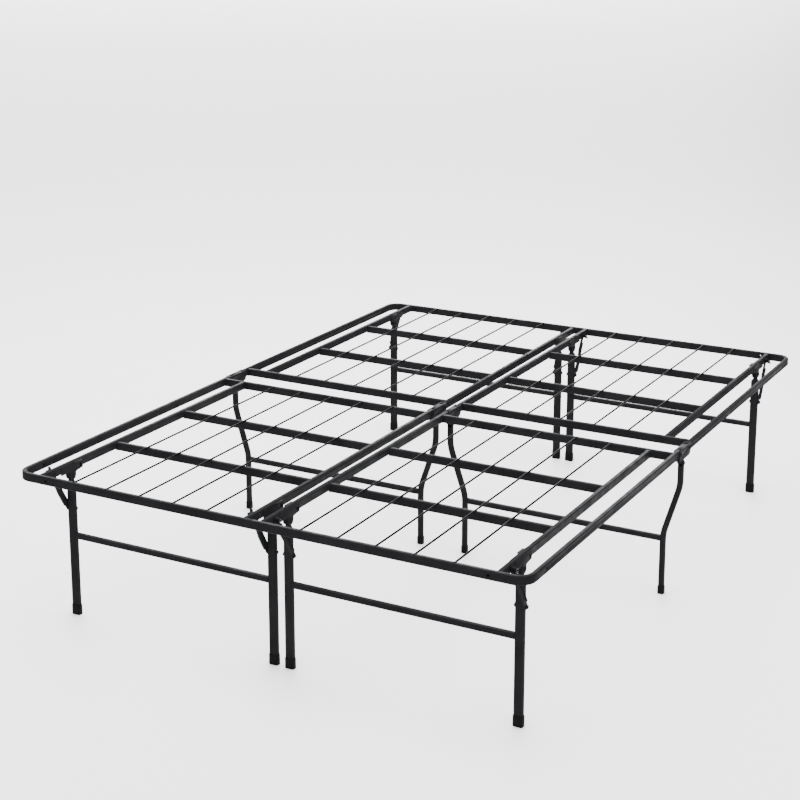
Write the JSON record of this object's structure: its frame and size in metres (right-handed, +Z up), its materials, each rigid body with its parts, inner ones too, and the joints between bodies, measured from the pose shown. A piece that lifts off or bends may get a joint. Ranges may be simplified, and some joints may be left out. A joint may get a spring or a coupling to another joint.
{
  "type": "folding metal bed frame",
  "caption": "Folding steel platform bed frame with a wire deck, end legs braced by struts, bent middle legs and a fold across its middle.",
  "frame": {"origin": "on the floor under the middle of the bed", "axes": "+Z up, +Y along the bed from its near end to its far end, +X to the right across the bed"},
  "size_m": [1.3822, 1.905, 0.4076],
  "materials": {
    "powder_coat": "satin black powder coat",
    "wire": "satin black coated wire",
    "plastic": "matte black moulded plastic"
  },
  "bodies": {
    "near_deck": {"near_left_outer_rail": "powder_coat", "near_left_centre_rail": "powder_coat", "near_left_stringer": "powder_coat", "near_left_mid_bar": "powder_coat", "near_left_wire_panel": "wire", "near_right_outer_rail": "powder_coat", "near_right_centre_rail": "powder_coat", "near_right_stringer": "powder_coat", "near_right_mid_bar": "powder_coat", "near_right_wire_panel": "wire", "near_end_joiner": "powder_coat"},
    "far_deck": {"far_left_outer_rail": "powder_coat", "far_left_centre_rail": "powder_coat", "far_left_stringer": "powder_coat", "far_left_mid_bar": "powder_coat", "far_left_wire_panel": "wire", "far_right_outer_rail": "powder_coat", "far_right_centre_rail": "powder_coat", "far_right_stringer": "powder_coat", "far_right_mid_bar": "powder_coat", "far_right_wire_panel": "wire", "far_end_joiner": "powder_coat"},
    "fold_links": {"left_outer_link": "powder_coat", "left_centre_link": "powder_coat", "right_outer_link": "powder_coat", "right_centre_link": "powder_coat"},
    "near_left_leg": {"near_left_leg_frame": "powder_coat", "near_left_outer_foot_cap": "plastic", "near_left_centre_foot_cap": "plastic"},
    "near_left_outer_strut_body": {"near_left_outer_strut": "powder_coat"},
    "near_left_outer_wing_nut_body": {"near_left_outer_wing_nut": "plastic"},
    "near_left_centre_strut_body": {"near_left_centre_strut": "powder_coat"},
    "near_left_centre_wing_nut_body": {"near_left_centre_wing_nut": "plastic"},
    "near_right_leg": {"near_right_leg_frame": "powder_coat", "near_right_outer_foot_cap": "plastic", "near_right_centre_foot_cap": "plastic"},
    "near_right_outer_strut_body": {"near_right_outer_strut": "powder_coat"},
    "near_right_outer_wing_nut_body": {"near_right_outer_wing_nut": "plastic"},
    "near_right_centre_strut_body": {"near_right_centre_strut": "powder_coat"},
    "near_right_centre_wing_nut_body": {"near_right_centre_wing_nut": "plastic"},
    "far_left_leg": {"far_left_leg_frame": "powder_coat", "far_left_outer_foot_cap": "plastic", "far_left_centre_foot_cap": "plastic"},
    "far_left_outer_strut_body": {"far_left_outer_strut": "powder_coat"},
    "far_left_outer_wing_nut_body": {"far_left_outer_wing_nut": "plastic"},
    "far_left_centre_strut_body": {"far_left_centre_strut": "powder_coat"},
    "far_left_centre_wing_nut_body": {"far_left_centre_wing_nut": "plastic"},
    "far_right_leg": {"far_right_leg_frame": "powder_coat", "far_right_outer_foot_cap": "plastic", "far_right_centre_foot_cap": "plastic"},
    "far_right_outer_strut_body": {"far_right_outer_strut": "powder_coat"},
    "far_right_outer_wing_nut_body": {"far_right_outer_wing_nut": "plastic"},
    "far_right_centre_strut_body": {"far_right_centre_strut": "powder_coat"},
    "far_right_centre_wing_nut_body": {"far_right_centre_wing_nut": "plastic"},
    "left_mid_leg": {"left_mid_leg_frame": "powder_coat", "left_outer_mid_foot_cap": "plastic", "left_centre_mid_foot_cap": "plastic"},
    "right_mid_leg": {"right_mid_leg_frame": "powder_coat", "right_outer_mid_foot_cap": "plastic", "right_centre_mid_foot_cap": "plastic"}
  },
  "joints": [
    {"name": "link_fold", "type": "hinge", "parent": "near_deck", "child": "fold_links", "pos_m": [0, -0.034, 0.3959], "axis": [1, 0, 0], "range_deg": [0, 90]},
    {"name": "far_deck_fold", "type": "hinge", "parent": "fold_links", "child": "far_deck", "pos_m": [0, 0.034, 0.3959], "axis": [1, 0, 0], "range_deg": [0, 90]},
    {"name": "left_mid_leg_fold", "type": "hinge", "parent": "near_deck", "child": "left_mid_leg", "pos_m": [-0.35105, -0.005, 0.365], "axis": [-1, 0, 0], "range_deg": [0, 90]},
    {"name": "right_mid_leg_fold", "type": "hinge", "parent": "near_deck", "child": "right_mid_leg", "pos_m": [0.35105, -0.005, 0.365], "axis": [-1, 0, 0], "range_deg": [0, 90]},
    {"name": "near_left_leg_fold", "type": "hinge", "parent": "near_deck", "child": "near_left_leg", "pos_m": [-0.31775, -0.8315, 0.371], "axis": [1, 0, 0], "range_deg": [0, 90]},
    {"name": "near_left_outer_strut_swing", "type": "hinge", "parent": "near_left_leg", "child": "near_left_outer_strut_body", "pos_m": [-0.6255, -0.8315, 0.285], "axis": [1, 0, 0], "range_deg": [0, 130]},
    {"name": "near_left_outer_wing_nut_spin", "type": "hinge", "parent": "near_deck", "child": "near_left_outer_wing_nut_body", "pos_m": [-0.6282, -0.897, 0.3959], "axis": [-1, 0, 0], "continuous": true},
    {"name": "near_left_centre_strut_swing", "type": "hinge", "parent": "near_left_leg", "child": "near_left_centre_strut_body", "pos_m": [-0.0346, -0.8315, 0.285], "axis": [1, 0, 0], "range_deg": [0, 130]},
    {"name": "near_left_centre_wing_nut_spin", "type": "hinge", "parent": "near_deck", "child": "near_left_centre_wing_nut_body", "pos_m": [-0.0373, -0.897, 0.3959], "axis": [-1, 0, 0], "continuous": true},
    {"name": "near_right_leg_fold", "type": "hinge", "parent": "near_deck", "child": "near_right_leg", "pos_m": [0.31775, -0.8315, 0.371], "axis": [1, 0, 0], "range_deg": [0, 90]},
    {"name": "near_right_outer_strut_swing", "type": "hinge", "parent": "near_right_leg", "child": "near_right_outer_strut_body", "pos_m": [0.6255, -0.8315, 0.285], "axis": [1, 0, 0], "range_deg": [0, 130]},
    {"name": "near_right_outer_wing_nut_spin", "type": "hinge", "parent": "near_deck", "child": "near_right_outer_wing_nut_body", "pos_m": [0.6282, -0.897, 0.3959], "axis": [1, 0, 0], "continuous": true},
    {"name": "near_right_centre_strut_swing", "type": "hinge", "parent": "near_right_leg", "child": "near_right_centre_strut_body", "pos_m": [0.0346, -0.8315, 0.285], "axis": [1, 0, 0], "range_deg": [0, 130]},
    {"name": "near_right_centre_wing_nut_spin", "type": "hinge", "parent": "near_deck", "child": "near_right_centre_wing_nut_body", "pos_m": [0.0373, -0.897, 0.3959], "axis": [1, 0, 0], "continuous": true},
    {"name": "far_left_leg_fold", "type": "hinge", "parent": "far_deck", "child": "far_left_leg", "pos_m": [-0.31775, 0.8315, 0.371], "axis": [-1, 0, 0], "range_deg": [0, 90]},
    {"name": "far_left_outer_strut_swing", "type": "hinge", "parent": "far_left_leg", "child": "far_left_outer_strut_body", "pos_m": [-0.6255, 0.8315, 0.285], "axis": [-1, 0, 0], "range_deg": [0, 130]},
    {"name": "far_left_outer_wing_nut_spin", "type": "hinge", "parent": "far_deck", "child": "far_left_outer_wing_nut_body", "pos_m": [-0.6282, 0.897, 0.3959], "axis": [-1, 0, 0], "continuous": true},
    {"name": "far_left_centre_strut_swing", "type": "hinge", "parent": "far_left_leg", "child": "far_left_centre_strut_body", "pos_m": [-0.0346, 0.8315, 0.285], "axis": [-1, 0, 0], "range_deg": [0, 130]},
    {"name": "far_left_centre_wing_nut_spin", "type": "hinge", "parent": "far_deck", "child": "far_left_centre_wing_nut_body", "pos_m": [-0.0373, 0.897, 0.3959], "axis": [-1, 0, 0], "continuous": true},
    {"name": "far_right_leg_fold", "type": "hinge", "parent": "far_deck", "child": "far_right_leg", "pos_m": [0.31775, 0.8315, 0.371], "axis": [-1, 0, 0], "range_deg": [0, 90]},
    {"name": "far_right_outer_strut_swing", "type": "hinge", "parent": "far_right_leg", "child": "far_right_outer_strut_body", "pos_m": [0.6255, 0.8315, 0.285], "axis": [-1, 0, 0], "range_deg": [0, 130]},
    {"name": "far_right_outer_wing_nut_spin", "type": "hinge", "parent": "far_deck", "child": "far_right_outer_wing_nut_body", "pos_m": [0.6282, 0.897, 0.3959], "axis": [1, 0, 0], "continuous": true},
    {"name": "far_right_centre_strut_swing", "type": "hinge", "parent": "far_right_leg", "child": "far_right_centre_strut_body", "pos_m": [0.0346, 0.8315, 0.285], "axis": [-1, 0, 0], "range_deg": [0, 130]},
    {"name": "far_right_centre_wing_nut_spin", "type": "hinge", "parent": "far_deck", "child": "far_right_centre_wing_nut_body", "pos_m": [0.0373, 0.897, 0.3959], "axis": [1, 0, 0], "continuous": true}
  ],
  "couplings": [
    {"joint": "far_deck_fold", "follows": "link_fold", "ratio": 1}
  ]
}
